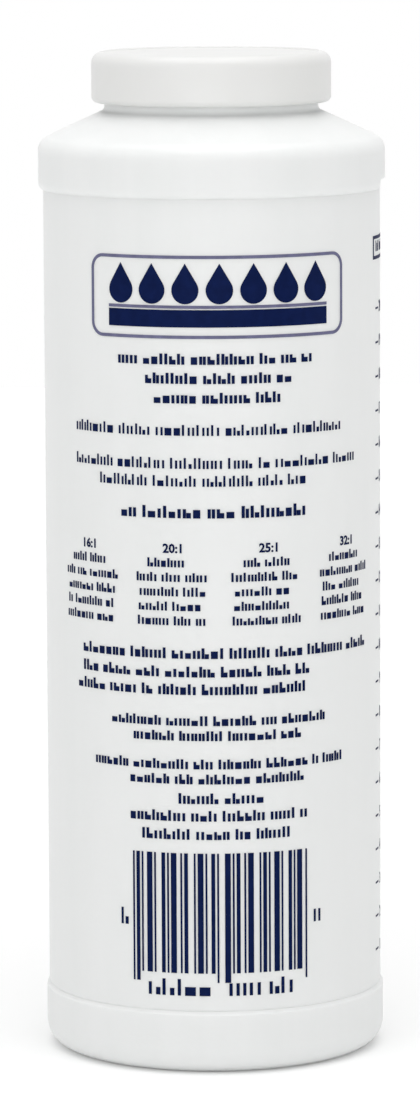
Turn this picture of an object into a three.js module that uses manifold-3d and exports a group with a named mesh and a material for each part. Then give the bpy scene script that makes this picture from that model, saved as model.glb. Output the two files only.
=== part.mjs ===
// A one-quart fuel mixing bottle: a blow-moulded container with a coarse screw neck, a moulded
// screw cap with a foam liner, and the ink printed on its straight side.
// Millimetres, +Z up. The origin is the middle of the base, and the print faces -Y.

import * as THREE from "three";
import { mergeVertices } from "three/addons/utils/BufferGeometryUtils.js";
import Module from "manifold-3d";

const wasm = await Module();
wasm.setup();

// Container body
const rimHeight = 232.3; // height of the mouth's rim
const panelRadius = 39.35; // the straight side that carries the print
const upperBumperProud = 1.2; // the raised ring under the shoulder, which saves the print from rubbing
const upperBumperHeight = 8.8; // from the shoulder's rounding down to the panel
const upperBumperEdge = 1.9; // height of its rounded lower edge
const notchHeight = 2.4; // the notch in that edge, at the right-hand end of the bottle's parting line
const notchHalfAngle = THREE.MathUtils.degToRad(14);
const lowerBumperProud = 0.6; // the raised ring above the heel
const lowerBumperTop = 14.2;
const bumperBlend = 0.7; // height of the slopes on the lower ring's top and the notch's roof
const bodyWall = 0.8;
const shoulderAngle = THREE.MathUtils.degToRad(24.6); // slope below the horizontal
const shoulderRounding = 4;

// Base
const heelRounding = 5.6;
const contactRingWidth = 3.4; // the flat ring that the bottle stands on
const pushUpHeight = 1.8; // how far the middle of the base is pushed up
const pushUpRamp = 5; // the sloped ring round the push-up
const baseThickness = 1.1;

// Neck and its thread
const neckRadius = 24.97; // between the turns of the thread
const neckHeight = 10.75; // from the rim down to the shoulder
const neckWall = 1.67;
const neckRounding = 1.2; // where the neck grows out of the shoulder
const rimChamfer = 0.4;
const threadPitch = 25.4 / 6; // six turns to the inch
const threadTurns = 1.25;
const neckRidgeHeight = 1.13;
const neckRidgeRoot = 2.4; // width of the ridge at the neck's wall
const neckRidgeCrest = 1;
const neckRidgeDrop = 2.1; // from the rim down to the middle of the ridge at its upper end
const neckRidgeStart = THREE.MathUtils.degToRad(-60); // where the lower end of the ridge lies

// Cap and liner
const capWall = 1.65;
const capTop = 1.5; // thickness of the cap's top at its rim
const capRounding = 2.7; // the outer edge of the top
const capDishDepth = 0.35; // the flat of the top lies this much under its rim
const capDishSlope = 0.5;
const capFootRounding = 1.4; // the outer edge of the open end
const capFootChamfer = 0.2; // its inner edge
const neckShowing = 1.65; // bare neck between the cap and the shoulder
const threadClearance = 0.25; // from the crest of a ridge to the wall that it faces
const flankClearance = 0.15; // between the two ridges where they bear on each other
const capRidgeRoot = 2.2;
const capRidgeCrest = 0.9;
const capThreadTurns = 1.1;
const capThreadLag = 0.5; // turns from the start of the neck's ridge to the start of the cap's
const linerThickness = 1;
const linerClearance = 0.1; // above and below the liner
const linerSideClearance = 0.35;

// Thread ends
const runOut = THREE.MathUtils.degToRad(25); // the length over which a ridge fades into its wall
const buried = 0.4; // how deep a ridge is rooted in its wall

// Print: a thin skin of ink, measured in millimetres along the panel from its middle line
const inkGap = 0.2; // keeps the ink's long flats clear of the panel's curve
const inkThickness = 0.2;
const hairline = 0.16; // the fine lines that hold one printed block together
const spineInset = 0.04; // how much deeper in the ink an upright hairline lies than the type
const tieInset = 0.07; // and a level one
const labelMargin = 12.75; // from the top of the panel down to the label's top
const labelFootMargin = 9.1; // from the bottom of the panel up to the label's foot
const labelDesignHeight = 166.3; // the drops below are for a label of this height, and stretch with it
const smallText = 1.5;
const mediumText = 1.9;
const boldText = 2.4;
const headingRows = [[22.7, -24.5, 49], [27.1, -17.5, 35], [31.5, -15.5, 31]];
const directionRows = [[38.9, -38, 73], [46.4, -38, 78], [50.6, -30, 52]];
const titleRows = [[57.7, -24, 48]];
const noteRows = [[90.3, -36, 79], [94.6, -36, 58], [98.6, -38, 60]];
const closingRows = [[106, -27, 54], [109.8, -21, 42], [116.1, -32, 64], [119.9, -22, 44]];
const footRows = [[124.2, -10, 20], [128.6, -22, 44], [132.1, -19, 38]];

// Badge: an outlined panel with a row of fuel drops standing on a band
const badgeWidth = 64.5;
const badgeHeight = 19;
const badgeStroke = 0.7;
const bandWidth = 54;
const bandHeight = 4;
const bandMargin = 2.6; // from the badge's bottom up to the band
const dropCount = 7;
const dropPitch = 7.9;
const dropWidth = 6.3;
const dropHeight = 9.3;
const dropSink = 0.4; // how far a drop reaches into the band

// Mixing table
const tableColumns = 4;
const columnPitch = 22.4;
const tableDrop = 66.1;
const rowPitch = 3.36;
const tableWidths = [8, 12, 17.5, 16, 16.5, 17];

// Barcode: an even, repeating rhythm of bars and gaps that stands for no number
const barcodeDrop = 138.1;
const barcodeHeight = 28.2;
const barcodeModule = 0.45;
const barcodeModuleCount = 95;
const barcodeBarCounts = [1, 2, 1, 3]; // how many modules each bar takes
const barcodeGapCounts = [1, 1, 2, 1, 3];

// Side scale
const scaleLeft = 47.5;
const scaleHeadRise = 2.2; // of its head over the label's top
const scaleHeadWidth = 15;
const scaleHeadHeight = 5.5;
const scaleDrop = 15;
const scalePitch = 8;
const tickLength = 4;
const tickHeight = 0.5;

// Facets round the axis
const facets = 60;
const inkFlats = 36;
const roundSteps = 4;

// What follows from the sizes above
const upperBumperRadius = panelRadius + upperBumperProud;
const lowerBumperRadius = panelRadius + lowerBumperProud;
const shoulderStart = rimHeight - neckHeight;
const slopeHeight = (radius) => shoulderStart - (radius - neckRadius) * Math.tan(shoulderAngle);
const shoulderEdgeRadius = upperBumperRadius - shoulderRounding * (1 - Math.sin(shoulderAngle));
const shoulderEdgeCentre = [
  upperBumperRadius - shoulderRounding,
  slopeHeight(shoulderEdgeRadius) - shoulderRounding * Math.cos(shoulderAngle),
];
const panelTop = shoulderEdgeCentre[1] - upperBumperHeight;
const panelBottom = lowerBumperTop + bumperBlend;
const linerBottom = rimHeight + linerClearance;
const capCeiling = linerBottom + linerThickness + linerClearance;
const capTopHeight = capCeiling + capTop;
const capBottom = shoulderStart + neckShowing;
const capBore = neckRadius + neckRidgeHeight + threadClearance;
const capRadius = capBore + capWall;
const inkRadius = panelRadius + inkGap;
const flatAngle = (2 * Math.PI) / inkFlats;
const flatLength = inkRadius * flatAngle;
const labelTop = panelTop - labelMargin;
const labelFoot = panelBottom + labelFootMargin;
const labelStretch = (labelTop - labelFoot) / labelDesignHeight;
const labelHeight = (drop) => labelTop - drop * labelStretch; // the height of a place on the label

const ink = { color: 0x05225a, roughness: 0.45, metalness: 0 };
const paleInk = { color: 0x8a8fb4, roughness: 0.45, metalness: 0 };
const milkyPlastic = { color: 0xe6e9e6, roughness: 0.42, metalness: 0 };
const whitePlastic = { color: 0xebebe8, roughness: 0.38, metalness: 0 };
const foam = { color: 0xf4f2ea, roughness: 0.9, metalness: 0 };

// Solids

// A closed surface of revolution from (radius, height) points, with the material on their left.
function turned(points) {
  const geometry = new THREE.LatheGeometry(points.map(([r, z]) => new THREE.Vector2(r, z)), facets);
  return geometry.rotateX(Math.PI / 2);
}

function arc([centreRadius, centreHeight], radius, from, to) {
  const points = [];
  for (let i = 0; i <= roundSteps; i += 1) {
    const angle = from + ((to - from) * i) / roundSteps;
    points.push([centreRadius + radius * Math.cos(angle), centreHeight + radius * Math.sin(angle)]);
  }
  return points;
}

function indexed(positions, triangles) {
  const geometry = new THREE.BufferGeometry();
  geometry.setAttribute("position", new THREE.Float32BufferAttribute(positions, 3));
  geometry.setIndex(triangles);
  return geometry;
}

function solidOf(geometry) {
  const bare = geometry.clone();
  bare.deleteAttribute("normal");
  bare.deleteAttribute("uv");
  const merged = mergeVertices(bare, 1e-4);
  const corners = merged.index.array;
  const triangles = [];
  for (let i = 0; i < corners.length; i += 3) {
    const [a, b, c] = corners.slice(i, i + 3);
    if (a !== b && b !== c && c !== a) triangles.push(a, b, c);
  }
  return new wasm.Manifold(
    new wasm.Mesh({
      numProp: 3,
      vertProperties: merged.getAttribute("position").array,
      triVerts: Uint32Array.from(triangles),
    }),
  );
}

function geometryOf(solid) {
  const mesh = solid.getMesh();
  return indexed(Array.from(mesh.vertProperties), Array.from(mesh.triVerts));
}

function joined(geometries) {
  return geometryOf(geometries.map(solidOf).reduce((whole, piece) => whole.add(piece)));
}

// One ridge of a thread, rising with the angle about +Z. Its flanks slope evenly from the wall to the
// crest, and it sinks into the wall at both ends. A crest radius under the wall's makes an inner thread.
function threadRidge({ wall, crest, rootWidth, crestWidth, startAngle, startHeight, turns }) {
  const out = Math.sign(crest - wall);
  const root = wall - out * buried;
  const steps = Math.round(turns * facets);
  const fadeSteps = Math.round((runOut / (2 * Math.PI)) * facets);
  const positions = [];
  const flankSlope = (rootWidth - crestWidth) / Math.abs(crest - wall);
  const widthAt = (radius) => crestWidth + flankSlope * Math.abs(crest - radius);
  for (let i = 0; i <= steps; i += 1) {
    const angle = startAngle + (i / facets) * 2 * Math.PI;
    const middle = startHeight + (i / facets) * threadPitch;
    const rise = Math.min(1, i / fadeSteps, (steps - i) / fadeSteps);
    const top = root + (crest - root) * rise + out * (buried / 2) * (1 - rise);
    const section = [
      [root, -widthAt(root) / 2],
      [top, -widthAt(top) / 2],
      [top, widthAt(top) / 2],
      [root, widthAt(root) / 2],
    ];
    for (const [radius, offset] of section) {
      positions.push(radius * Math.cos(angle), radius * Math.sin(angle), middle + offset);
    }
  }
  const triangles = [];
  const quad = (a, b, c, d) => {
    if (out > 0) triangles.push(a, b, c, a, c, d);
    else triangles.push(a, c, b, a, d, c);
  };
  for (let i = 0; i < steps; i += 1) {
    for (let side = 0; side < 4; side += 1) {
      const next = (side + 1) % 4;
      quad(4 * i + side, 4 * (i + 1) + side, 4 * (i + 1) + next, 4 * i + next);
    }
  }
  quad(0, 1, 2, 3);
  quad(4 * steps + 3, 4 * steps + 2, 4 * steps + 1, 4 * steps);
  return indexed(positions, triangles);
}

// Bottle

const neckRidge = {
  wall: neckRadius,
  crest: neckRadius + neckRidgeHeight,
  rootWidth: neckRidgeRoot,
  crestWidth: neckRidgeCrest,
  startAngle: neckRidgeStart,
  startHeight: rimHeight - neckRidgeDrop - threadTurns * threadPitch,
  turns: threadTurns,
};

// The bottle's section, with the given radius for the lowest part of its upper ring.
function bottleProfile(ringRadius) {
  const contactOuter = lowerBumperRadius - heelRounding;
  const contactInner = contactOuter - contactRingWidth;
  const pushUpRadius = contactInner - pushUpRamp;
  const heelCentre = [contactOuter, heelRounding];
  const slopeNormal = Math.PI / 2 - shoulderAngle;
  const filletFoot = neckRadius + neckRounding * (1 - Math.sin(shoulderAngle));
  const filletCentre = [
    neckRadius + neckRounding,
    slopeHeight(filletFoot) + neckRounding * Math.cos(shoulderAngle),
  ];
  const bore = neckRadius - neckWall;
  const boreBottom = slopeHeight(bore) - bodyWall / Math.cos(shoulderAngle);
  const ringEdge = arc([0, 1], 1, -Math.PI / 2, 0).map(([out, up]) => [
    panelRadius + (ringRadius - panelRadius) * out,
    panelTop + upperBumperEdge * up,
  ]);
  const notchTop = panelTop + notchHeight;
  return [
    [0, pushUpHeight],
    [pushUpRadius, pushUpHeight],
    [contactInner, 0],
    ...arc(heelCentre, heelRounding, -Math.PI / 2, 0),
    [lowerBumperRadius, lowerBumperTop],
    [panelRadius, panelBottom],
    ...ringEdge,
    [ringRadius, notchTop],
    [upperBumperRadius, notchTop + bumperBlend],
    ...arc(shoulderEdgeCentre, shoulderRounding, 0, slopeNormal),
    ...arc(filletCentre, neckRounding, Math.PI + slopeNormal, Math.PI),
    [neckRadius, rimHeight - rimChamfer],
    [neckRadius - rimChamfer, rimHeight],
    [bore + rimChamfer, rimHeight],
    [bore, rimHeight - rimChamfer],
    [bore, boreBottom],
    ...arc(shoulderEdgeCentre, shoulderRounding - bodyWall, slopeNormal, 0),
    [upperBumperRadius - bodyWall, notchTop + bumperBlend],
    [ringRadius - bodyWall, notchTop],
    [ringRadius - bodyWall, panelTop + upperBumperEdge],
    [panelRadius - bodyWall, panelTop],
    [panelRadius - bodyWall, panelBottom],
    [lowerBumperRadius - bodyWall, lowerBumperTop],
    ...arc(heelCentre, heelRounding - bodyWall, 0, -Math.PI / 2),
    [contactInner, bodyWall],
    [pushUpRadius, pushUpHeight + baseThickness],
    [0, pushUpHeight + baseThickness],
  ];
}

// The section is turned all round, and its columns near +X are those of the notch.
function bottle() {
  const body = turned(bottleProfile(upperBumperRadius));
  const notch = turned(bottleProfile(panelRadius)).getAttribute("position");
  const position = body.getAttribute("position");
  for (let i = 0; i < position.count; i += 1) {
    const inNotch = Math.abs(Math.atan2(position.getY(i), position.getX(i))) < notchHalfAngle;
    if (inNotch) position.setXYZ(i, notch.getX(i), notch.getY(i), notch.getZ(i));
  }
  return joined([body, threadRidge(neckRidge)]);
}

// Cap and liner

function cap() {
  const crest = neckRadius + threadClearance;
  const neckWidth = (neckRidgeRoot + neckRidgeCrest) / 2; // halfway up the ridge
  const capWidth = (capRidgeRoot + capRidgeCrest) / 2;
  const bearing = (neckWidth + capWidth) / 2 + flankClearance;
  const ridge = {
    wall: capBore,
    crest,
    rootWidth: capRidgeRoot,
    crestWidth: capRidgeCrest,
    startAngle: neckRidgeStart + capThreadLag * 2 * Math.PI,
    startHeight: neckRidge.startHeight + capThreadLag * threadPitch - bearing,
    turns: capThreadTurns,
  };
  const footCentre = [capRadius - capFootRounding, capBottom + capFootRounding];
  const rimCentre = [capRadius - capRounding, capTopHeight - capRounding];
  const profile = [
    [0, capCeiling],
    [capBore, capCeiling],
    [capBore, capBottom + capFootChamfer],
    [capBore + capFootChamfer, capBottom],
    ...arc(footCentre, capFootRounding, -Math.PI / 2, 0),
    ...arc(rimCentre, capRounding, 0, Math.PI / 2),
    [rimCentre[0] - capDishSlope, capTopHeight - capDishDepth],
    [0, capTopHeight - capDishDepth],
  ];
  return joined([turned(profile), threadRidge(ridge)]);
}

function capLiner() {
  const radius = capBore - linerSideClearance;
  return turned([
    [0, linerBottom],
    [radius, linerBottom],
    [radius, linerBottom + linerThickness],
    [0, linerBottom + linerThickness],
  ]);
}

// Print

// A printed block is first laid out flat, with X to the right along the panel and Z as the height, and
// then wrapped round the bottle on flats that all blocks share.

// A flat bar with a column of corners on each line between two flats. A bar that joins others lies a
// little deeper in the ink than they do, so that no two of their faces share a plane.
function bar(left, bottom, width, height, inset = 0) {
  const right = left + width;
  const stops = [left];
  for (let line = Math.floor(left / flatLength) + 1; line * flatLength < right; line += 1) {
    stops.push(line * flatLength);
  }
  stops.push(right);
  const columns = stops.length - 1;
  const geometry = new THREE.BoxGeometry(width, inkThickness - 2 * inset, height, columns, 1, 1);
  const position = geometry.getAttribute("position");
  for (let i = 0; i < position.count; i += 1) {
    position.setX(i, stops[Math.round((position.getX(i) / width + 0.5) * columns)]);
  }
  return geometry.translate(0, -inkThickness / 2, bottom + height / 2);
}

function wrapped(geometry) {
  const position = geometry.getAttribute("position");
  for (let i = 0; i < position.count; i += 1) {
    const along = position.getX(i) / flatLength;
    const flat = Math.floor(along + 1e-6);
    const share = along - flat;
    const [from, to] = [flat * flatAngle, (flat + 1) * flatAngle];
    const radius = inkRadius - position.getY(i);
    const x = radius * ((1 - share) * Math.sin(from) + share * Math.sin(to));
    const y = -radius * ((1 - share) * Math.cos(from) + share * Math.cos(to));
    position.setXYZ(i, x, y, position.getZ(i));
  }
  return geometry;
}

function printed(geometries) {
  return joined(geometries.map(wrapped));
}

// Lines of type as plain bars, each [drop from the label's top, left end, width], with one hairline
// that holds the block together.
function lines(rows, size, spine = 0) {
  const middles = rows.map(([drop]) => labelHeight(drop) - size / 2);
  const [top, bottom] = [Math.max(...middles), Math.min(...middles)];
  const bars = rows.map(([drop, left, width]) => bar(left, labelHeight(drop) - size, width, size));
  if (top === bottom) return bars;
  return [...bars, bar(spine - hairline / 2, bottom, hairline, top - bottom, spineInset)];
}

function badgeFrame() {
  const bottom = labelTop - badgeHeight;
  const [left, length] = [(badgeStroke - badgeWidth) / 2, badgeWidth - badgeStroke];
  return [
    bar(-badgeWidth / 2, bottom, badgeStroke, badgeHeight),
    bar(badgeWidth / 2 - badgeStroke, bottom, badgeStroke, badgeHeight),
    bar(left, bottom + spineInset, length, badgeStroke, spineInset),
    bar(left, labelTop - badgeStroke - spineInset, length, badgeStroke, spineInset),
  ];
}

function drop(middle, bottom) {
  const shape = new THREE.Shape();
  const radius = dropWidth / 2;
  const lean = Math.asin(radius / (dropHeight - radius));
  shape.absarc(middle, bottom + radius, radius, Math.PI - lean, 2 * Math.PI + lean);
  shape.lineTo(middle, bottom + dropHeight);
  const options = { depth: inkThickness - 2 * spineInset, bevelEnabled: false, curveSegments: 4 };
  return new THREE.ExtrudeGeometry(shape, options).rotateX(Math.PI / 2).translate(0, -spineInset, 0);
}

function badgeArt() {
  const bandTop = labelTop - badgeHeight + bandMargin + bandHeight;
  const shapes = [bar(-bandWidth / 2, bandTop - bandHeight, bandWidth, bandHeight)];
  for (let i = 0; i < dropCount; i += 1) {
    shapes.push(drop((i - (dropCount - 1) / 2) * dropPitch, bandTop - dropSink));
  }
  return shapes;
}

function ratioTable() {
  const shapes = [];
  for (let column = 0; column < tableColumns; column += 1) {
    const middle = (column - (tableColumns - 1) / 2) * columnPitch;
    const rows = tableWidths.map((width, row) => [tableDrop + row * rowPitch, middle - width / 2, width]);
    shapes.push(...lines(rows, smallText, middle));
  }
  const span = (tableColumns - 1) * columnPitch;
  shapes.push(bar(-span / 2, labelHeight(tableDrop) - smallText / 3, span, hairline, tieInset));
  return shapes;
}

function barcode() {
  const top = labelHeight(barcodeDrop);
  const shapes = [];
  let module = 0;
  for (let i = 0; module < barcodeModuleCount; i += 1) {
    const width = barcodeBarCounts[i % barcodeBarCounts.length];
    const left = (module - barcodeModuleCount / 2) * barcodeModule;
    shapes.push(bar(left, top - barcodeHeight, width * barcodeModule, barcodeHeight));
    module += width + barcodeGapCounts[i % barcodeGapCounts.length];
  }
  const width = (barcodeModuleCount - 1) * barcodeModule;
  shapes.push(bar(-width / 2, top - barcodeHeight + smallText, width, hairline, tieInset));
  return shapes;
}

function sideScale() {
  const top = labelTop - scaleDrop;
  const steps = Math.floor((top - labelFoot) / scalePitch);
  const bottom = top - steps * scalePitch + tickHeight / 2;
  const headTop = labelTop + scaleHeadRise;
  const shapes = [
    bar(scaleLeft, headTop - scaleHeadHeight, scaleHeadWidth, scaleHeadHeight),
    bar(scaleLeft + tickLength / 2, bottom, hairline, headTop - scaleHeadHeight / 2 - bottom, spineInset),
  ];
  for (let i = 0; i <= steps; i += 1) {
    shapes.push(bar(scaleLeft, top - i * scalePitch, tickLength, tickHeight));
  }
  return shapes;
}

// The whole part

function piece(name, geometry, finish) {
  const mesh = new THREE.Mesh(geometry, new THREE.MeshStandardMaterial(finish));
  mesh.name = name;
  return mesh;
}

const group = new THREE.Group();
group.add(
  piece("bottle", bottle(), milkyPlastic),
  piece("cap", cap(), whitePlastic),
  piece("cap_liner", capLiner(), foam),
  piece("print_badge_frame", printed(badgeFrame()), paleInk),
  piece("print_badge", printed(badgeArt()), ink),
  piece("print_heading", printed(lines(headingRows, mediumText)), ink),
  piece("print_directions", printed(lines(directionRows, mediumText)), ink),
  piece("print_table_title", printed(lines(titleRows, boldText)), ink),
  piece("print_table", printed(ratioTable()), ink),
  piece("print_notes", printed(lines(noteRows, smallText)), ink),
  piece("print_closing", printed(lines(closingRows, smallText)), ink),
  piece("print_foot", printed(lines(footRows, mediumText)), ink),
  piece("print_barcode", printed(barcode()), ink),
  piece("print_side_scale", printed(sideScale()), ink),
);

export default group;
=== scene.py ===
# The looks of a one-quart fuel mixing bottle: the milky blow-moulded shell, its screw cap and
# liner, and the ink on its straight side. Lengths are in millimetres, and a mesh takes metres.

import math
import random

import bpy
import numpy as np
from mathutils import Matrix, Vector


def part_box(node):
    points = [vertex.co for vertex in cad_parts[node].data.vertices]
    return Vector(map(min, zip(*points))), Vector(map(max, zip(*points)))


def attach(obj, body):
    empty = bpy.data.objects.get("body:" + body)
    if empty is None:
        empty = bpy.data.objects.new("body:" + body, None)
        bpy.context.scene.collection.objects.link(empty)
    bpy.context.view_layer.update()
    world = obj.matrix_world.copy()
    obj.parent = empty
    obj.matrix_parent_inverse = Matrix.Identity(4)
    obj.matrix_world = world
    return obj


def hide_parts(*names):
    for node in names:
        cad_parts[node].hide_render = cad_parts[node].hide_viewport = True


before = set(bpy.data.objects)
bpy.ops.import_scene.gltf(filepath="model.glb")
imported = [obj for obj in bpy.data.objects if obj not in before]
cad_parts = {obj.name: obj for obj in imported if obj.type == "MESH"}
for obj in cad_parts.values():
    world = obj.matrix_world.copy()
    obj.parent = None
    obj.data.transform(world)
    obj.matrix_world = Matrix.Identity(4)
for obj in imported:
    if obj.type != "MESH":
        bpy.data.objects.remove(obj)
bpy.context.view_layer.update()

MM = 0.001


def corner_mm(node, end):
    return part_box(node)[end] / MM


# Sizes that the frame gives
RIM_HEIGHT = corner_mm("bottle", 1).z
RING_RADIUS = corner_mm("bottle", 1).x
CAP_TOP = corner_mm("cap", 1).z
CAP_BOTTOM = corner_mm("cap", 0).z
CAP_RADIUS = corner_mm("cap", 1).x
LINER_TOP = corner_mm("cap_liner", 1).z
LINER_BOTTOM = corner_mm("cap_liner", 0).z
LINER_RADIUS = corner_mm("cap_liner", 1).x
LABEL_TOP = corner_mm("print_badge_frame", 1).z

# Container body
RING_PROUD = 1.2
RING_HEIGHT = 8.8
RING_EDGE = 1.9
NOTCH_HEIGHT = 2.4
NOTCH_HALF_ANGLE = math.radians(16)
NOTCH_SIDE = math.radians(1.5)
PANEL_RADIUS = RING_RADIUS - RING_PROUD
FOOT_RING_PROUD = 0.6
FOOT_RING_TOP = 14.2
RING_SLOPE = 0.7
WALL = 0.8
SHOULDER_ANGLE = math.radians(24.6)
SHOULDER_ROUNDING = 4.0
HEEL_ROUNDING = 5.6
CONTACT_WIDTH = 3.4
PUSH_UP = 1.8
PUSH_UP_RAMP = 5.0
BASE_THICKNESS = 1.1
GROOVE_DEPTH = 0.12
GROOVE_HEIGHT = 0.4
GROOVE_MIDDLE = 0.1
PARTING_RIDGE = 0.07
PARTING_HALF_WIDTH_ANGLE = 0.22 / PANEL_RADIUS
NOTCH_ROOF_RISE = 0.12

# Neck and threads
NECK_RADIUS = 24.97
NECK_HEIGHT = 10.75
NECK_WALL = 1.67
NECK_ROUNDING = 1.2
RIM_ROUNDING = 0.4
PITCH = 25.4 / 6
NECK_TURNS = 1.25
NECK_CREST = NECK_RADIUS + 1.13
NECK_RIDGE_WIDTHS = (2.4, 1.0)
NECK_RIDGE_DROP = 2.1
NECK_RIDGE_START = math.radians(-60)
RUN_OUT = math.radians(25)

# Cap
CAP_WALL = 1.65
CAP_BORE = CAP_RADIUS - CAP_WALL
CAP_THICKNESS = 1.5
CAP_ROUNDING = 2.7
CAP_FOOT_ROUNDING = 1.4
CAP_FOOT_CHAMFER = 0.2
DISH_DEPTH = 0.35
DISH_SLOPE = 0.5
LINER_ROUNDING = 0.12
CAP_CREST = NECK_RADIUS + 0.25
CAP_RIDGE_WIDTHS = (2.2, 0.9)
CAP_TURNS = 1.1
CAP_THREAD_LAG = 0.5
FLANK_CLEARANCE = 0.15

# Spacing of the points in a mesh, and the number of steps in an arc
COLUMN_SPACING = math.radians(1.5)
LINER_COLUMN_SPACING = math.radians(3)
THREAD_STEP = 0.16
TIGHT_STEP = 1.5
SHORT_STEP = 2.0
MEDIUM_STEP = 3.0
LONG_STEP = 12.0
SMALL_ARC = 4
NECK_ARC = 6
MEDIUM_ARC = 8
LARGE_ARC = 12
CAP_RIM_ARC = 14
DROP_ARC = 20
ALMOST_NOTHING = 1e-3

# Print
INK_PROUD = 0.05
INK_ROOT = 0.03
TABLE_TEXT = 2.1
SMALL_TEXT = 2.3
MEDIUM_TEXT = 2.5
BOLD_TEXT = 2.8

# Camera, with its distance from the bottle's axis
CAMERA_DISTANCE = 1306.0
CAMERA_HEIGHT = 292.3
CAMERA_AZIMUTH = math.radians(-2.4)
CAMERA_ROLL = math.radians(0.27)
CAMERA_LENS = 180.3
SENSOR_WIDTH = 36
AIM_HEIGHT = 115.8
AIM_SIDE = -0.8


# Meshes

def mesh_object(name, vertices, faces, material, sharp=math.radians(35)):
    mesh = bpy.data.meshes.new(name)
    mesh.from_pydata([tuple(float(c) * MM for c in v) for v in vertices], [], faces)
    mesh.validate()
    mesh.polygons.foreach_set("use_smooth", [True] * len(mesh.polygons))
    mesh.set_sharp_from_angle(angle=sharp)
    mesh.materials.append(material)
    mesh.update()
    piece = bpy.data.objects.new(name, mesh)
    bpy.context.scene.collection.objects.link(piece)
    return piece


def arc(centre, radius, start, end, steps=10):
    points = []
    for i in range(steps + 1):
        angle = start + (end - start) * i / steps
        points.append((centre[0] + radius * math.cos(angle), centre[1] + radius * math.sin(angle)))
    return points


def run(start, end, step=6.0, edge=0.25):
    """Points between two places, with one close to each end, so that the shading stays flat."""
    length = math.dist(start, end)
    count = max(1, round(length / step))
    shares = [i / count for i in range(1, count)]
    if length > 4 * edge:
        shares = [edge / length] + shares + [1 - edge / length]
    return [tuple(a + (b - a) * share for a, b in zip(start, end)) for share in shares]


def fine(start, end, step):
    count = max(2, math.ceil(math.dist(start, end) / step))
    return [tuple(a + (b - a) * i / count for a, b in zip(start, end)) for i in range(1, count)]


def column_angles(spacing, dense_at=(), dense=()):
    """Angles round the axis, with extra ones close to the places that need them."""
    angles = {round(i * spacing, 6) for i in range(round(2 * math.pi / spacing))}
    for middle in dense_at:
        for offset in dense:
            angles.add(round((middle + offset) % (2 * math.pi), 6))
    return np.array(sorted(angles))


def revolved(name, profile, angles, material, reshape=None):
    """A closed surface from (radius, height) points. The reshape function may change the radii."""
    radii = np.array([p[0] for p in profile])[:, None] * np.ones(len(angles))
    heights = np.array([p[1] for p in profile])[:, None] * np.ones(len(angles))
    if reshape:
        radii = reshape(radii, heights, angles[None, :] * np.ones_like(radii))
    columns = len(angles)
    first = profile[0][0] < ALMOST_NOTHING
    last = profile[-1][0] < ALMOST_NOTHING
    rows = range(1 if first else 0, len(profile) - (1 if last else 0))
    vertices = []
    for row in rows:
        across, deep = radii[row] * np.cos(angles), radii[row] * np.sin(angles)
        vertices += list(zip(across, deep, heights[row]))
    faces = []
    for row in range(len(rows) - 1):
        for column in range(columns):
            beside = (column + 1) % columns
            low, high = row * columns, (row + 1) * columns
            faces.append((low + column, low + beside, high + beside, high + column))
    if first:
        vertices.append((0, 0, profile[0][1]))
        faces += [(len(vertices) - 1, (c + 1) % columns, c) for c in range(columns)]
    if last:
        vertices.append((0, 0, profile[-1][1]))
        top = (len(rows) - 1) * columns
        faces += [(len(vertices) - 1, top + c, top + (c + 1) % columns) for c in range(columns)]
    return mesh_object(name, vertices, faces, material)


def smooth_step(value):
    share = np.clip(value, 0, 1)
    return share * share * (3 - 2 * share)


def thread(radii, heights, angles, wall, crest, widths, start_angle, start_height, turns):
    """Raises a helical ridge on a wall, or sinks it inwards where the crest is under the wall."""
    base, top = widths
    share = np.zeros_like(radii)
    first_turn = ((angles - start_angle) % (2 * math.pi)) / (2 * math.pi)
    for turn in range(math.ceil(turns)):
        along = first_turn + turn
        offset = np.abs(heights - start_height - along * PITCH)
        ridge = np.clip((base / 2 - offset) / ((base - top) / 2), 0, 1)
        fade = np.clip(np.minimum(along, turns - along) * 2 * math.pi / RUN_OUT, 0, 1)
        share = np.maximum(share, ridge * smooth_step(fade))
    on_wall = np.abs(radii - wall) < ALMOST_NOTHING
    return np.where(on_wall, radii + (crest - wall) * share, radii)


# Materials

# Colours are linear. Depths, waves and grains are in metres.
BOTTLE_COLOUR = (0.865, 0.88, 0.87)
BOTTLE_STREAKS = ((0.845, 0.864, 0.854), (0.875, 0.889, 0.881))
BOTTLE_DEPTH = 0.0025
BOTTLE_WAVES = 0.0006
BOTTLE_GRAIN = 0.00003
STREAK_STRETCH = (1, 1, 0.06)
WAVE_STRETCH = (1, 1, 0.35)
EVEN_RADIUS = (1.0, 1.0, 1.0)
CAP_COLOUR = (0.71, 0.71, 0.7)
CAP_CLOUDS = ((0.7, 0.7, 0.688), (0.72, 0.72, 0.712))
CAP_DEPTH = 0.002
CAP_SCATTER = (1.0, 1.0, 0.9)
CAP_GRAIN = 0.00002
FOAM_COLOUR = (0.85, 0.84, 0.8)
FOAM_CLOUDS = ((0.82, 0.81, 0.77), (0.87, 0.86, 0.83))
FOAM_GRAIN = 0.00008
NAVY = (0.0006, 0.006, 0.045)
PALE_VIOLET = (0.12, 0.12, 0.2)
INK_ROUGHNESS = 0.5
INK_SPECULAR = 0.06
INK_GRAIN = 0.00001
THIN_INK_GAIN = 1.3
THIN_INK_BASE = 0.001
RAMP_ENDS = (0.3, 0.7)


def new_material(name, colour, roughness):
    material = bpy.data.materials.new(name)
    material.use_nodes = True
    shader = material.node_tree.nodes["Principled BSDF"]
    shader.inputs["Base Color"].default_value = (*colour, 1)
    shader.inputs["Roughness"].default_value = roughness
    return material, shader


def scatter(shader, weight, radius, scale):
    shader.inputs["Subsurface Weight"].default_value = weight
    shader.inputs["Subsurface Radius"].default_value = radius
    shader.inputs["Subsurface Scale"].default_value = scale


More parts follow.
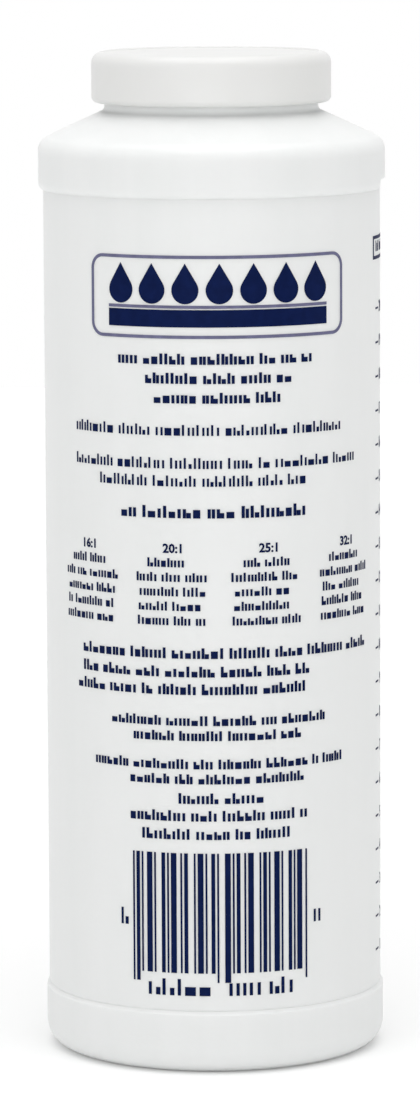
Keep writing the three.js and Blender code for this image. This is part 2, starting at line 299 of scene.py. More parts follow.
def noise(material, scale, detail, stretch=(1, 1, 1)):
    nodes, links = material.node_tree.nodes, material.node_tree.links
    coordinates = nodes.new("ShaderNodeTexCoord")
    mapping = nodes.new("ShaderNodeMapping")
    mapping.inputs["Scale"].default_value = stretch
    texture = nodes.new("ShaderNodeTexNoise")
    texture.inputs["Scale"].default_value = scale
    texture.inputs["Detail"].default_value = detail
    links.new(coordinates.outputs["Object"], mapping.inputs["Vector"])
    links.new(mapping.outputs["Vector"], texture.inputs["Vector"])
    return texture.outputs["Fac"]


def tint(material, shader, factor, first, second):
    nodes, links = material.node_tree.nodes, material.node_tree.links
    ramp = nodes.new("ShaderNodeValToRGB")
    for stop, position, colour in zip(ramp.color_ramp.elements, RAMP_ENDS, (first, second)):
        stop.position = position
        stop.color = (*colour, 1)
    links.new(factor, ramp.inputs["Fac"])
    links.new(ramp.outputs["Color"], shader.inputs["Base Color"])


def vary_roughness(material, shader, factor, low, high):
    nodes, links = material.node_tree.nodes, material.node_tree.links
    spread = nodes.new("ShaderNodeMapRange")
    spread.inputs["To Min"].default_value = low
    spread.inputs["To Max"].default_value = high
    links.new(factor, spread.inputs["Value"])
    links.new(spread.outputs["Result"], shader.inputs["Roughness"])


def bump(material, shader, heights):
    """Stacks bumps of (height, depth in metres) on one another."""
    nodes, links = material.node_tree.nodes, material.node_tree.links
    previous = None
    for height, depth in heights:
        relief = nodes.new("ShaderNodeBump")
        relief.inputs["Distance"].default_value = depth
        links.new(height, relief.inputs["Height"])
        if previous:
            links.new(previous, relief.inputs["Normal"])
        previous = relief.outputs["Normal"]
    links.new(previous, shader.inputs["Normal"])


def bottle_plastic():
    """Milky polyethylene: light passes into it, and it has upright streaks and faint waves."""
    material, shader = new_material("bottle_plastic", BOTTLE_COLOUR, roughness=0.4)
    scatter(shader, weight=0.6, radius=EVEN_RADIUS, scale=BOTTLE_DEPTH)
    streaks = noise(material, scale=90, detail=3, stretch=STREAK_STRETCH)
    tint(material, shader, streaks, *BOTTLE_STREAKS)
    vary_roughness(material, shader, noise(material, scale=60, detail=4), low=0.36, high=0.46)
    waves = noise(material, scale=9, detail=1, stretch=WAVE_STRETCH)
    grain = noise(material, scale=900, detail=2)
    bump(material, shader, [(waves, BOTTLE_WAVES), (grain, BOTTLE_GRAIN)])
    return material


def cap_plastic():
    """Denser white plastic with a finer grain."""
    material, shader = new_material("cap_plastic", CAP_COLOUR, roughness=0.35)
    scatter(shader, weight=0.15, radius=CAP_SCATTER, scale=CAP_DEPTH)
    tint(material, shader, noise(material, scale=40, detail=2), *CAP_CLOUDS)
    vary_roughness(material, shader, noise(material, scale=120, detail=4), low=0.3, high=0.4)
    bump(material, shader, [(noise(material, scale=1400, detail=2), CAP_GRAIN)])
    return material


def liner_foam():
    material, shader = new_material("liner_foam", FOAM_COLOUR, roughness=0.85)
    tint(material, shader, noise(material, scale=300, detail=3), *FOAM_CLOUDS)
    bump(material, shader, [(noise(material, scale=2500, detail=3), FOAM_GRAIN)])
    return material


def ink(name, colour):
    """Screen-print ink, a touch thinner and shinier in places."""
    material, shader = new_material(name, colour, INK_ROUGHNESS)
    shader.inputs["Specular IOR Level"].default_value = INK_SPECULAR
    thin = tuple(c * THIN_INK_GAIN + THIN_INK_BASE for c in colour)
    tint(material, shader, noise(material, scale=500, detail=4), colour, thin)
    shine = noise(material, scale=250, detail=3)
    vary_roughness(material, shader, shine, low=0.44, high=0.58)
    bump(material, shader, [(noise(material, scale=3000, detail=2), INK_GRAIN)])
    return material


# Bottle

SHOULDER_TOP = RIM_HEIGHT - NECK_HEIGHT
EDGE_RADIUS = RING_RADIUS - SHOULDER_ROUNDING * (1 - math.sin(SHOULDER_ANGLE))
SLOPE_NORMAL = math.pi / 2 - SHOULDER_ANGLE
FOOT_RADIUS = PANEL_RADIUS + FOOT_RING_PROUD


def slope_height(radius):
    return SHOULDER_TOP - (radius - NECK_RADIUS) * math.tan(SHOULDER_ANGLE)


EDGE_CENTRE = (RING_RADIUS - SHOULDER_ROUNDING,
               slope_height(EDGE_RADIUS) - SHOULDER_ROUNDING * math.cos(SHOULDER_ANGLE))
PANEL_TOP = EDGE_CENTRE[1] - RING_HEIGHT
PANEL_BOTTOM = FOOT_RING_TOP + RING_SLOPE
NECK_THREAD_FOOT = RIM_HEIGHT - NECK_RIDGE_DROP - NECK_TURNS * PITCH
NECK_THREAD = (NECK_RADIUS, NECK_CREST, NECK_RIDGE_WIDTHS, NECK_RIDGE_START, NECK_THREAD_FOOT,
               NECK_TURNS)


def bottle_profile():
    """The wall's outside from the base's middle up to the rim, and its inside back down."""
    contact_outer = FOOT_RADIUS - HEEL_ROUNDING
    contact_inner = contact_outer - CONTACT_WIDTH
    push_up_edge = (contact_inner - PUSH_UP_RAMP, PUSH_UP)
    bore = NECK_RADIUS - NECK_WALL
    fillet_foot = NECK_RADIUS + NECK_ROUNDING * (1 - math.sin(SHOULDER_ANGLE))
    fillet = (NECK_RADIUS + NECK_ROUNDING,
              slope_height(fillet_foot) + NECK_ROUNDING * math.cos(SHOULDER_ANGLE))
    neck_foot = arc(fillet, NECK_ROUNDING, math.pi + SLOPE_NORMAL, math.pi, NECK_ARC)
    shoulder = arc(EDGE_CENTRE, SHOULDER_ROUNDING, 0, SLOPE_NORMAL, LARGE_ARC)
    ring_edge = [(PANEL_RADIUS + RING_PROUD * x, PANEL_TOP + RING_EDGE * (1 + y))
                 for x, y in arc((0, 0), 1, -math.pi / 2, 0, MEDIUM_ARC)]
    notch_top = (RING_RADIUS, PANEL_TOP + NOTCH_HEIGHT)
    notch_roof = notch_top[1] + NOTCH_ROOF_RISE
    rim_centre = (NECK_RADIUS - RIM_ROUNDING, RIM_HEIGHT - RIM_ROUNDING)
    rim = arc(rim_centre, RIM_ROUNDING, 0, math.pi / 2, SMALL_ARC)
    heel_centre = (contact_outer, HEEL_ROUNDING)
    heel = arc(heel_centre, HEEL_ROUNDING, -math.pi / 2, 0, LARGE_ARC)
    foot_top = (FOOT_RADIUS, FOOT_RING_TOP)
    groove_top = (PANEL_RADIUS, PANEL_BOTTOM + GROOVE_HEIGHT)

    outside = [(0, PUSH_UP), *run((0, PUSH_UP), push_up_edge), push_up_edge]
    outside += [*run(push_up_edge, (contact_inner, 0), SHORT_STEP), (contact_inner, 0), *heel]
    outside += [*run(heel[-1], foot_top, MEDIUM_STEP), foot_top, (PANEL_RADIUS, PANEL_BOTTOM)]
    outside += [(PANEL_RADIUS - GROOVE_DEPTH, PANEL_BOTTOM + GROOVE_MIDDLE), groove_top]
    outside += [*run(groove_top, ring_edge[0]), *ring_edge]
    outside += [*run(ring_edge[-1], notch_top), notch_top, (RING_RADIUS, notch_roof)]
    outside += [*run(notch_top, shoulder[0], SHORT_STEP), *shoulder]
    outside += [*run(shoulder[-1], neck_foot[0], SHORT_STEP), *neck_foot]
    outside += [*fine(neck_foot[-1], rim[0], THREAD_STEP), *rim]

    inner_rim_centre = (bore + RIM_ROUNDING, RIM_HEIGHT - RIM_ROUNDING)
    inner_rim = arc(inner_rim_centre, RIM_ROUNDING, math.pi / 2, math.pi, SMALL_ARC)
    inner_foot = (bore, slope_height(bore) - WALL / math.cos(SHOULDER_ANGLE))
    inner_edge = arc(EDGE_CENTRE, SHOULDER_ROUNDING - WALL, SLOPE_NORMAL, 0, MEDIUM_ARC)
    inner_heel = arc(heel_centre, HEEL_ROUNDING - WALL, 0, -math.pi / 2, MEDIUM_ARC)
    ring_wall, panel_wall = RING_RADIUS - WALL, PANEL_RADIUS - WALL
    panel_top, panel_bottom = (panel_wall, PANEL_TOP), (panel_wall, PANEL_BOTTOM)

    inside = [*inner_rim, *run(inner_rim[-1], inner_foot, MEDIUM_STEP), inner_foot, *inner_edge]
    inside += [(ring_wall, height) for height in (notch_roof, notch_top[1], PANEL_TOP + RING_EDGE)]
    inside += [panel_top, *run(panel_top, panel_bottom, LONG_STEP), panel_bottom]
    inside += [(FOOT_RADIUS - WALL, FOOT_RING_TOP), *inner_heel, (contact_inner, WALL)]
    inside += [(push_up_edge[0], PUSH_UP + BASE_THICKNESS), (0, PUSH_UP + BASE_THICKNESS)]
    return outside, inside


def bottle_shell():
    outside, inside = bottle_profile()

    def reshape(radii, heights, angles):
        """Raises the thread and the parting ridge, and sinks the notch in the upper ring."""
        outer = (np.arange(len(radii)) < len(outside))[:, None]
        radii = np.where(outer, thread(radii, heights, angles, *NECK_THREAD), radii)
        from_notch = np.abs((angles + math.pi) % (2 * math.pi) - math.pi)
        notch = smooth_step((NOTCH_HALF_ANGLE - from_notch) / NOTCH_SIDE + 0.5)
        above = heights > PANEL_TOP - ALMOST_NOTHING
        below = heights < PANEL_TOP + NOTCH_HEIGHT + ALMOST_NOTHING
        floor = np.where(outer, PANEL_RADIUS, PANEL_RADIUS - WALL)
        radii = np.where(above & below & (radii > floor), radii + (floor - radii) * notch, radii)
        from_seam = np.abs((angles + math.pi / 2) % math.pi - math.pi / 2)
        seam = PARTING_RIDGE * np.clip(1 - from_seam / PARTING_HALF_WIDTH_ANGLE, 0, 1)
        seamed = (heights > ALMOST_NOTHING) & (heights < SHOULDER_TOP - NECK_ROUNDING)
        seamed = outer & seamed & (radii > NECK_RADIUS + NECK_ROUNDING)
        return np.where(seamed, np.minimum(radii + seam, RING_RADIUS), radii)

    offsets = [-2 * PARTING_HALF_WIDTH_ANGLE, -PARTING_HALF_WIDTH_ANGLE, 0,
               PARTING_HALF_WIDTH_ANGLE, 2 * PARTING_HALF_WIDTH_ANGLE]
    angles = column_angles(COLUMN_SPACING, (0, math.pi), offsets)
    piece = revolved("bottle_shell", outside + inside, angles, BOTTLE_PLASTIC, reshape)
    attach(piece, "container")
    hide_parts("bottle")


# Cap and liner

def cap_shell():
    ceiling = CAP_TOP - CAP_THICKNESS
    ceiling_edge = (CAP_BORE, ceiling)
    inner_foot = (CAP_BORE, CAP_BOTTOM + CAP_FOOT_CHAMFER)
    foot_centre = (CAP_RADIUS - CAP_FOOT_ROUNDING, CAP_BOTTOM + CAP_FOOT_ROUNDING)
    foot = arc(foot_centre, CAP_FOOT_ROUNDING, -math.pi / 2, 0, MEDIUM_ARC)
    rim_centre = (CAP_RADIUS - CAP_ROUNDING, CAP_TOP - CAP_ROUNDING)
    rim = arc(rim_centre, CAP_ROUNDING, 0, math.pi / 2, CAP_RIM_ARC)
    dish = (rim[-1][0] - DISH_SLOPE, CAP_TOP - DISH_DEPTH)
    profile = [(0, ceiling), *run((0, ceiling), ceiling_edge), ceiling_edge]
    profile += [*fine(ceiling_edge, inner_foot, THREAD_STEP), inner_foot]
    profile += [(CAP_BORE + CAP_FOOT_CHAMFER, CAP_BOTTOM), *foot]
    profile += [*run(foot[-1], rim[0], TIGHT_STEP), *rim]
    profile += [dish, *run(dish, (0, dish[1])), (0, dish[1])]
    bearing = (sum(NECK_RIDGE_WIDTHS) / 2 + sum(CAP_RIDGE_WIDTHS) / 2) / 2 + FLANK_CLEARANCE
    start_angle = NECK_RIDGE_START + CAP_THREAD_LAG * 2 * math.pi
    start_height = NECK_THREAD_FOOT + CAP_THREAD_LAG * PITCH - bearing
    cap_thread = (CAP_BORE, CAP_CREST, CAP_RIDGE_WIDTHS, start_angle, start_height, CAP_TURNS)
    piece = revolved("cap_shell", profile, column_angles(COLUMN_SPACING), CAP_PLASTIC,
                     lambda radii, heights, turn: thread(radii, heights, turn, *cap_thread))
    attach(piece, "screw_cap")
    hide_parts("cap")


def liner_disc():
    flat = LINER_RADIUS - LINER_ROUNDING
    profile = [(0, LINER_BOTTOM), *run((0, LINER_BOTTOM), (flat, LINER_BOTTOM))]
    profile += [(flat, LINER_BOTTOM), (LINER_RADIUS, LINER_BOTTOM + LINER_ROUNDING)]
    profile += [(LINER_RADIUS, LINER_TOP - LINER_ROUNDING), (flat, LINER_TOP)]
    profile += [*run((flat, LINER_TOP), (0, LINER_TOP)), (0, LINER_TOP)]
    piece = revolved("liner_disc", profile, column_angles(LINER_COLUMN_SPACING), LINER_FOAM)
    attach(piece, "liner")
    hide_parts("cap_liner")


# Print

FIGURE_SIZE = 1.38
FIGURE_CURVE_STEPS = 2
WORD_LENGTHS = (2, 8)
MARK_KINDS = ("stems", "block", "step", "stems")

# Sizes of the stand-in marks, as shares of the text's height
CELL_WIDTHS = (0.34, 0.62, 0.68, 0.74)
NARROW_CELL = 0.4
LETTER_GAP = 0.13
WORD_GAP = 0.42
STROKE = 0.22
LOW_RISE = 0.76
RISES = (LOW_RISE, LOW_RISE, 1.0, 1.0)
STEP_RISE = 0.45

# A step's width in strokes, a block's height as a share of its rise, and its inset in its cell
STEP_WIDTH = 1.4
BLOCK_HEIGHT = 0.7
BLOCK_INSET = 0.06


class Print:
    """One printed block: flat marks laid out along the panel, then wrapped on it as thin ink."""

    def __init__(self):
        self.vertices = []
        self.faces = []

    def outline(self, points):
        """One convex or star-shaped mark, given as (along, height) points in order."""
        count, first = len(points), len(self.vertices)
        middle = (sum(p[0] for p in points) / count, sum(p[1] for p in points) / count)
        for depth in (INK_PROUD, -INK_ROOT):
            for along, height in [*points, middle]:
                self.vertices.append(on_panel(along, height, depth))
        top, bottom = first + count, first + 2 * count + 1
        for i in range(count):
            j = (i + 1) % count
            self.faces.append((first + i, first + j, top))
            self.faces.append((top + 1 + j, top + 1 + i, bottom))
            self.faces.append((first + j, first + i, top + 1 + i, top + 1 + j))

    def bar(self, left, bottom, width, height):
        """A rectangle with enough columns to follow the panel's curve."""
        columns = max(1, math.ceil(width / TIGHT_STEP))
        first = len(self.vertices)
        for i in range(columns + 1):
            along = left + width * i / columns
            for level, depth in ((bottom, INK_PROUD), (bottom + height, INK_PROUD),
                                 (bottom + height, -INK_ROOT), (bottom, -INK_ROOT)):
                self.vertices.append(on_panel(along, level, depth))
        for i in range(columns):
            a = first + 4 * i
            for side in range(4):
                beside = (side + 1) % 4
                self.faces.append((a + side, a + 4 + side, a + 4 + beside, a + beside))
        end = first + 4 * columns
        self.faces += [(first, first + 1, first + 2, first + 3), (end + 3, end + 2, end + 1, end)]

    def band(self, points):
        """A closed strip, given as pairs of inner and outer (along, height) points in order."""
        first, count = len(self.vertices), len(points)
        for inner, outer in points:
            for (along, height), depth in ((inner, INK_PROUD), (outer, INK_PROUD),
                                           (outer, -INK_ROOT), (inner, -INK_ROOT)):
                self.vertices.append(on_panel(along, height, depth))
        for i in range(count):
            a, b = first + 4 * i, first + 4 * ((i + 1) % count)
            for side in range(4):
                beside = (side + 1) % 4
                self.faces.append((a + beside, b + beside, b + side, a + side))

    def number(self, text, middle, bottom, size, bolder=0.0):
        """Plain figures in Blender's own type, wrapped as the rest. Its 4 can't be made bolder."""
        curve = bpy.data.curves.new("figures", "FONT")
        curve.body = text
        curve.size = size * FIGURE_SIZE
        curve.resolution_u = FIGURE_CURVE_STEPS
        curve.extrude = (INK_PROUD + INK_ROOT) / 2
        curve.offset = size * bolder
        maker = bpy.data.objects.new("figures", curve)
        mesh = maker.to_mesh()
        places = [vertex.co.copy() for vertex in mesh.vertices]
        width = max(p.x for p in places) - min(p.x for p in places)
        start = middle - width / 2 - min(p.x for p in places)
        middle_depth = (INK_PROUD - INK_ROOT) / 2
        first = len(self.vertices)
        self.vertices += [on_panel(start + p.x, bottom + p.y, p.z + middle_depth) for p in places]
        self.faces += [tuple(first + i for i in polygon.vertices) for polygon in mesh.polygons]
        maker.to_mesh_clear()
        bpy.data.objects.remove(maker)
        bpy.data.curves.remove(curve)

    def words(self, left, bottom, width, size, weight=1.0):
        """Stand-in type: words of small upright and solid marks that are no letters."""
        along = left
        end = left + width
        while along < end - size:
            letters = CHANCE.randint(*WORD_LENGTHS)
            for _ in range(letters):
                cell = size * CHANCE.choice(CELL_WIDTHS)
                if along + cell > end:
                    break
                self.mark(along, bottom, cell, size, weight)
                along += cell + size * LETTER_GAP
            along += size * WORD_GAP

    def mark(self, left, bottom, cell, size, weight):
        """One upright, a tall upright with a low one, a tall one with a step, or a solid block."""
        stroke = size * STROKE * weight
        step = stroke * STEP_WIDTH
        rise = size * CHANCE.choice(RISES)
        kind = CHANCE.choice(MARK_KINDS)
        if cell < size * NARROW_CELL:
            self.bar(left + (cell - stroke) / 2, bottom, stroke, rise)
        elif kind == "stems":
            self.bar(left, bottom, stroke, rise)
            self.bar(left + cell - stroke, bottom, stroke, size * LOW_RISE)
        elif kind == "step":
            self.bar(left, bottom, stroke, rise)
            self.bar(left + cell - step, bottom, step, size * STEP_RISE)
        else:
            width = cell * (1 - 2 * BLOCK_INSET)
            self.bar(left + cell * BLOCK_INSET, bottom, width, rise * BLOCK_HEIGHT)

    def finish(self, node, material):
        piece = mesh_object(node + "_ink", self.vertices, self.faces, material, math.radians(20))
        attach(piece, "container")
        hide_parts(node)


def on_panel(along, height, depth):
    angle = along / PANEL_RADIUS
    radius = PANEL_RADIUS + depth
    return (radius * math.sin(angle), -radius * math.cos(angle), height)


def rounded_rectangle(width, height, corner, middle):
    points = []
    for quarter in range(4):
        x = (width / 2 - corner) * (1 if quarter in (0, 3) else -1)
        z = (height / 2 - corner) * (1 if quarter in (0, 1) else -1)
        start = quarter * math.pi / 2
        points += arc((x, middle + z), corner, start, start + math.pi / 2, MEDIUM_ARC)
    return points


def closer(points):
    """The same closed outline with points close enough to follow the panel's curve."""
    result = []
    for i, start in enumerate(points):
        end = points[(i + 1) % len(points)]
        count = max(1, math.ceil(math.dist(start, end) / TIGHT_STEP))
        result += [tuple(a + (b - a) * k / count for a, b in zip(start, end)) for k in range(count)]
    return result


def outlined(path, stroke):
    """Inner and outer points on both sides of a closed path, mitred at its corners."""
    strip = []
    for i, (x, z) in enumerate(path):
        before, after = Vector(path[i - 1]), Vector(path[(i + 1) % len(path)])
        arriving = (Vector((x, z)) - before).normalized()
        leaving = (after - Vector((x, z))).normalized()
        along = (arriving + leaving).normalized()
        reach = stroke / 2 / max(SHARPEST_CORNER, along.dot(arriving))
        inner = (x - along.y * reach, z + along.x * reach)
        outer = (x + along.y * reach, z - along.x * reach)
        strip.append((inner, outer))
    return strip


SHARPEST_CORNER = 0.5
BADGE_WIDTH = 64.5
BADGE_HEIGHT = 19.0
BADGE_CORNER = 3.4
BADGE_STROKE = 0.75
BAND_WIDTH = 54.0
BAND_HEIGHT = 4.0
BAND_MARGIN = 2.6
BAND_BOTTOM = LABEL_TOP - BADGE_HEIGHT + BAND_MARGIN
STRIP_HEIGHT = 0.7
DROP_COUNT = 7
DROP_PITCH = 7.9
DROP_WIDTH = 6.3
DROP_HEIGHT = 9.3
DROP_GAP = 1.3


def badge_frame():
    """A rounded outline with a thin strip under the place of the drops."""
    block = Print()
    middle = LABEL_TOP - BADGE_HEIGHT / 2
    width, height = BADGE_WIDTH - BADGE_STROKE, BADGE_HEIGHT - BADGE_STROKE
    path = closer(rounded_rectangle(width, height, BADGE_CORNER - BADGE_STROKE / 2, middle))
    block.band(outlined(path, BADGE_STROKE))
    strip_bottom = BAND_BOTTOM + BAND_HEIGHT + DROP_GAP / 2 - STRIP_HEIGHT / 2
    block.bar(-BAND_WIDTH / 2, strip_bottom, BAND_WIDTH, STRIP_HEIGHT)
    block.finish("print_badge_frame", PALE_INK)


def badge_art():
    """A plain row of fuel drops on a band."""
    block = Print()
    block.bar(-BAND_WIDTH / 2, BAND_BOTTOM, BAND_WIDTH, BAND_HEIGHT)
    bottom = BAND_BOTTOM + BAND_HEIGHT + DROP_GAP
    radius = DROP_WIDTH / 2
    lean = math.asin(radius / (DROP_HEIGHT - radius))
    start, end = math.pi - lean, 2 * math.pi + lean
    for i in range(DROP_COUNT):
        middle = (i - (DROP_COUNT - 1) / 2) * DROP_PITCH
        round_part = arc((middle, bottom + radius), radius, start, end, DROP_ARC)
        block.outline([*round_part, (middle, bottom + DROP_HEIGHT)])
    block.finish("print_badge", NAVY_INK)


# Rows of text as (drop from the label's top, left end, width)
HEADING_ROWS = [(22.4, -24.5, 49), (26.8, -17.5, 35), (31.3, -15.5, 31)]
DIRECTION_ROWS = [(38.7, -38, 73), (46.3, -38, 78), (50.4, -30, 52)]
TABLE_TITLE_ROWS = [(57.4, -24, 48)]
NOTE_ROWS = [(90.2, -36, 79), (94.5, -36, 58), (98.6, -38, 60)]
CLOSING_ROWS = [(106, -27, 54), (109.5, -21, 42), (116.1, -32, 64), (119.6, -22, 44)]
FOOT_ROWS = [(124, -10, 20), (128.1, -22, 44), (132.4, -19, 38)]
HEADING_WEIGHT = 1.3
NOTE_WEIGHT = 1.25
FOOT_WEIGHT = 1.2
TABLE_WEIGHT = 1.15
DIRECTION_WEIGHT = 0.95


def text_block(node, rows, size, weight):
    block = Print()
    for drop, left, width in rows:
        block.words(left, LABEL_TOP - drop - size, width, size, weight)
    block.finish(node, NAVY_INK)


TABLE_RATIOS = (16, 20, 25, 32)
COLUMN_PITCH = 22.4
TABLE_DROP = 66.1
ROW_PITCH = 3.36
TABLE_WIDTHS = (12, 17.5, 16, 16.5, 17)
RATIO_BOLDER = 0.045


def mixing_table():
    """Columns of stand-in lines, each under a plain mixing ratio."""
    block = Print()
    for column, ratio in enumerate(TABLE_RATIOS):
        middle = (column - (len(TABLE_RATIOS) - 1) / 2) * COLUMN_PITCH
        bottom = LABEL_TOP - TABLE_DROP - TABLE_TEXT
        block.number(f"{ratio}:1", middle, bottom, TABLE_TEXT, RATIO_BOLDER)
        for row, width in enumerate(TABLE_WIDTHS):
            level = bottom - (row + 1) * ROW_PITCH
            block.words(middle - width / 2, level, width, TABLE_TEXT, TABLE_WEIGHT)
    block.finish("print_table", NAVY_INK)


BARCODE_DROP = 138.1
BARCODE_HEIGHT = 28.2
GUARD_EXTRA = 2.2
MODULE = 0.45
MODULE_COUNT = 95
BAR_MODULES = (1, 2, 1, 3)
GAP_MODULES = (1, 1, 2, 1, 3)

# Modules with longer bars, at the left end, the right end and each side of the middle
LEFT_GUARD = 4
RIGHT_GUARD = 6
MIDDLE_GUARD = 3

# Marks under the bars, as (left end, width), and the left ends of those beside the bars
BAR_TEXT = 3.9
BAR_TEXT_GAP = 1.4
BAR_TEXT_ROWS = [(-17.5, 17), (1.6, 17)]
BAR_TEXT_WEIGHT = 0.9
SIDE_MARKS = (-24.6, 22.8)
SIDE_MARK_DROP = BARCODE_HEIGHT * 0.62
SIDE_MARK_WIDTH = BAR_TEXT * 0.5
SIDE_MARK_WEIGHT = 0.7


def barcode():
    """An even, repeating rhythm of bars and gaps that stands for no number."""
    block = Print()
    top = LABEL_TOP - BARCODE_DROP
    module = 0
    i = 0
    while module < MODULE_COUNT:
        width = BAR_MODULES[i % len(BAR_MODULES)]
        at_end = module < LEFT_GUARD or module > MODULE_COUNT - RIGHT_GUARD
        is_guard = at_end or abs(module - MODULE_COUNT / 2) < MIDDLE_GUARD
        height = BARCODE_HEIGHT + (GUARD_EXTRA if is_guard else 0)
        block.bar((module - MODULE_COUNT / 2) * MODULE, top - height, width * MODULE, height)
        module += width + GAP_MODULES[i % len(GAP_MODULES)]
        i += 1
    text_bottom = top - BARCODE_HEIGHT - BAR_TEXT - BAR_TEXT_GAP
    for left, width in BAR_TEXT_ROWS:
        block.words(left, text_bottom, width, BAR_TEXT, BAR_TEXT_WEIGHT)
    for left in SIDE_MARKS:
        block.mark(left, top - SIDE_MARK_DROP, SIDE_MARK_WIDTH, BAR_TEXT, SIDE_MARK_WEIGHT)
    block.finish("print_barcode", NAVY_INK)


SCALE_LEFT = 47.5
SCALE_HEAD_RISE = 2.2
SCALE_HEAD_WIDTH = 15.0
SCALE_HEAD_HEIGHT = 5.5
HEAD_TEXT_INSET = 2.4
HEAD_TEXT_RISE = 1.8
HEAD_TEXT_WIDTH = 11.0
SCALE_DROP = 15.0
SCALE_STROKE = 0.8
SCALE_TICKS = 20
SCALE_PITCH = 8.0
TICK_INSET = 2.2
TICK_LENGTH = 3.0
TICK_HEIGHT = 0.45
FIGURE_MIDDLE = SCALE_LEFT + TICK_INSET + TICK_LENGTH + 2.8
FIGURE_DROP = 0.8


def side_scale():
    """A boxed head over a column of ticks, numbered from the foot."""
    block = Print()
    head_bottom = LABEL_TOP + SCALE_HEAD_RISE - SCALE_HEAD_HEIGHT
    half = SCALE_STROKE / 2
    left, right = SCALE_LEFT + half, SCALE_LEFT + SCALE_HEAD_WIDTH - half
    low, high = head_bottom + half, head_bottom + SCALE_HEAD_HEIGHT - half
    box = closer([(left, low), (right, low), (right, high), (left, high)])
    block.band(outlined(box, SCALE_STROKE))
    text_left, text_bottom = SCALE_LEFT + HEAD_TEXT_INSET, head_bottom + HEAD_TEXT_RISE
    block.words(text_left, text_bottom, HEAD_TEXT_WIDTH, MEDIUM_TEXT)
    for i in range(SCALE_TICKS):
        level = LABEL_TOP - SCALE_DROP - i * SCALE_PITCH
        block.bar(SCALE_LEFT + TICK_INSET, level, TICK_LENGTH, TICK_HEIGHT)
        block.number(f"{SCALE_TICKS - i}", FIGURE_MIDDLE, level - FIGURE_DROP, BOLD_TEXT)
    block.finish("print_side_scale", NAVY_INK)


# Studio

FLOOR_SIZE = 3.0
FLOOR_COLOUR = (0.92, 0.92, 0.92, 1)
FLOOR_ROUGHNESS = 0.9
GLOW_START = 0.15
NEAR_GLOW = 0.1
FAR_GLOW = 0.5
WHITE = (1, 1, 1, 1)
HORIZON_LIGHT = 1.14
ZENITH_LIGHT = 0.6
HORIZON_RISE = 0.6
SIDE_START = 0.45
SIDE_SHARE = 0.86

# Lamps in metres and watts
OVER_PLACE = (0.0, -0.15, 1.1)
OVER_AIM = (0, 0, 0.15)
OVER_SIZE = (1.1, 1.1)
OVER_POWER = 6.2
FRONT_PLACE = (-0.25, -1.6, 0.35)
FRONT_AIM = (0, 0, 0.12)
FRONT_SIZE = (1.4, 0.6)
FRONT_POWER = 3.5


def area_light(name, place, aim, size, power):
    light = bpy.data.lights.new(name, "AREA")
    light.shape = "RECTANGLE"
    light.size, light.size_y = size
    light.energy = power
    lamp = bpy.data.objects.new(name, light)
    lamp.location = Vector(place)
    lamp.rotation_euler = (Vector(aim) - Vector(place)).to_track_quat("-Z", "Y").to_euler()
    bpy.context.scene.collection.objects.link(lamp)


def calculated(nodes, links, operation, *values):
    """The result of a Math node on the outputs given."""
    result = nodes.new("ShaderNodeMath")
    result.operation = operation
    for value, socket in zip(values, result.inputs):
        links.new(value, socket)
    return result.outputs[0]


def background_rays(nodes, links):
    """1 for what is seen directly, reflected or through glass, and 0 for light on the object."""
    path = nodes.new("ShaderNodeLightPath")
    seen = path.outputs["Is Camera Ray"]
    for ray in ("Is Glossy Ray", "Is Transmission Ray"):
        seen = calculated(nodes, links, "MAXIMUM", seen, path.outputs[ray])
    return seen


def floor_material():
    """Pale and matt. It is seen a little lighter further off, so that it joins the backdrop."""
    material = bpy.data.materials.new("studio_floor")
    material.use_nodes = True
    nodes, links = material.node_tree.nodes, material.node_tree.links
    shader = nodes["Principled BSDF"]
    shader.inputs["Base Color"].default_value = FLOOR_COLOUR
    shader.inputs["Roughness"].default_value = FLOOR_ROUGHNESS
    shader.inputs["Specular IOR Level"].default_value = 0
    shader.inputs["Emission Color"].default_value = WHITE
    coordinates = nodes.new("ShaderNodeTexCoord")
    distance = nodes.new("ShaderNodeVectorMath")
    distance.operation = "LENGTH"
    glow = nodes.new("ShaderNodeMapRange")
    glow.inputs["From Min"].default_value = GLOW_START
    glow.inputs["From Max"].default_value = FLOOR_SIZE / 2
    glow.inputs["To Min"].default_value = NEAR_GLOW
    glow.inputs["To Max"].default_value = FAR_GLOW
    links.new(coordinates.outputs["Object"], distance.inputs[0])
    links.new(distance.outputs["Value"], glow.inputs["Value"])
    seen = background_rays(nodes, links)
    strength = calculated(nodes, links, "MULTIPLY", seen, glow.outputs["Result"])
    links.new(strength, shader.inputs["Emission Strength"])
    return material


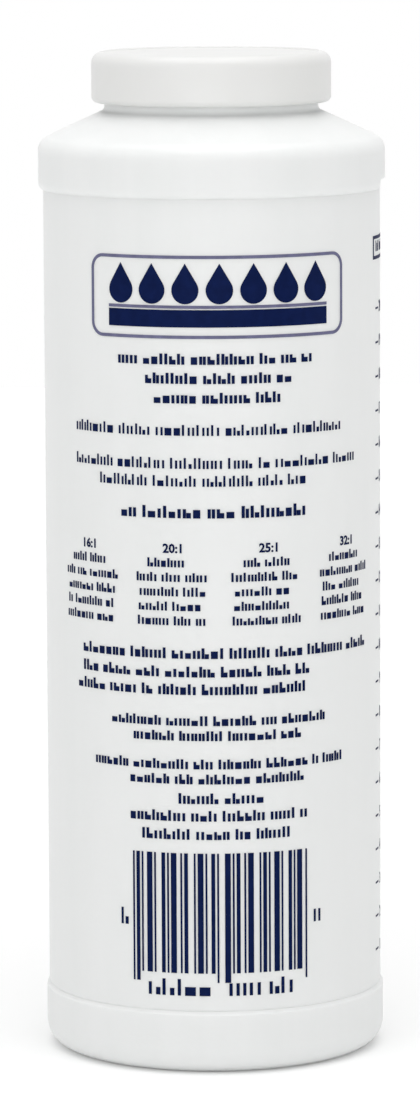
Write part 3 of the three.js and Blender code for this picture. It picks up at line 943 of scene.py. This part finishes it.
def studio_world():
    """White where it is seen. Its light on the object falls off upwards and to both sides."""
    world = bpy.data.worlds.new("studio_world")
    bpy.context.scene.world = world
    world.use_nodes = True
    nodes, links = world.node_tree.nodes, world.node_tree.links
    background = nodes["Background"]
    background.inputs["Color"].default_value = WHITE
    coordinates = nodes.new("ShaderNodeTexCoord")
    direction = nodes.new("ShaderNodeSeparateXYZ")
    links.new(coordinates.outputs["Generated"], direction.inputs["Vector"])
    rise = nodes.new("ShaderNodeMapRange")
    rise.interpolation_type = "SMOOTHSTEP"
    rise.inputs["From Max"].default_value = HORIZON_RISE
    rise.inputs["To Min"].default_value = HORIZON_LIGHT
    rise.inputs["To Max"].default_value = ZENITH_LIGHT
    links.new(direction.outputs["Z"], rise.inputs["Value"])
    sides = nodes.new("ShaderNodeMapRange")
    sides.interpolation_type = "SMOOTHSTEP"
    sides.inputs["From Min"].default_value = SIDE_START
    sides.inputs["To Min"].default_value = 1
    sides.inputs["To Max"].default_value = SIDE_SHARE
    links.new(calculated(nodes, links, "ABSOLUTE", direction.outputs["X"]), sides.inputs["Value"])
    light = calculated(nodes, links, "MULTIPLY", rise.outputs["Result"], sides.outputs["Result"])
    strength = nodes.new("ShaderNodeMix")
    links.new(background_rays(nodes, links), strength.inputs["Factor"])
    links.new(light, strength.inputs["A"])
    strength.inputs["B"].default_value = 1
    links.new(strength.outputs["Result"], background.inputs["Strength"])


def studio():
    bpy.ops.mesh.primitive_plane_add(size=FLOOR_SIZE)
    floor = bpy.context.object
    floor.name = "studio_floor"
    floor.data.materials.append(floor_material())
    studio_world()
    area_light("light_over", OVER_PLACE, OVER_AIM, OVER_SIZE, OVER_POWER)
    area_light("light_front", FRONT_PLACE, FRONT_AIM, FRONT_SIZE, FRONT_POWER)


def camera():
    lens = bpy.data.cameras.new("camera")
    lens.lens = CAMERA_LENS
    lens.sensor_width = SENSOR_WIDTH
    viewer = bpy.data.objects.new("camera", lens)
    side = Vector((math.cos(CAMERA_AZIMUTH), math.sin(CAMERA_AZIMUTH), 0))
    away = Vector((math.sin(CAMERA_AZIMUTH), -math.cos(CAMERA_AZIMUTH), 0))
    place = (away * CAMERA_DISTANCE + Vector((0, 0, CAMERA_HEIGHT))) * MM
    aim = (side * AIM_SIDE + Vector((0, 0, AIM_HEIGHT))) * MM
    turn = (aim - place).to_track_quat("-Z", "Y").to_matrix()
    turn = turn @ Matrix.Rotation(-CAMERA_ROLL, 3, "Z")
    viewer.matrix_world = Matrix.Translation(place) @ turn.to_4x4()
    bpy.context.scene.collection.objects.link(viewer)
    bpy.context.scene.camera = viewer


CHANCE = random.Random(4)
BOTTLE_PLASTIC = bottle_plastic()
CAP_PLASTIC = cap_plastic()
LINER_FOAM = liner_foam()
NAVY_INK = ink("navy_ink", NAVY)
PALE_INK = ink("pale_ink", PALE_VIOLET)

camera()
studio()
bottle_shell()
cap_shell()
liner_disc()
badge_frame()
badge_art()
text_block("print_heading", HEADING_ROWS, MEDIUM_TEXT, HEADING_WEIGHT)
text_block("print_directions", DIRECTION_ROWS, MEDIUM_TEXT, DIRECTION_WEIGHT)
text_block("print_table_title", TABLE_TITLE_ROWS, BOLD_TEXT, NOTE_WEIGHT)
mixing_table()
text_block("print_notes", NOTE_ROWS, MEDIUM_TEXT, NOTE_WEIGHT)
text_block("print_closing", CLOSING_ROWS, SMALL_TEXT, NOTE_WEIGHT)
text_block("print_foot", FOOT_ROWS, MEDIUM_TEXT, FOOT_WEIGHT)
barcode()
side_scale()

view = bpy.context.scene.view_settings
view.view_transform = "Standard"
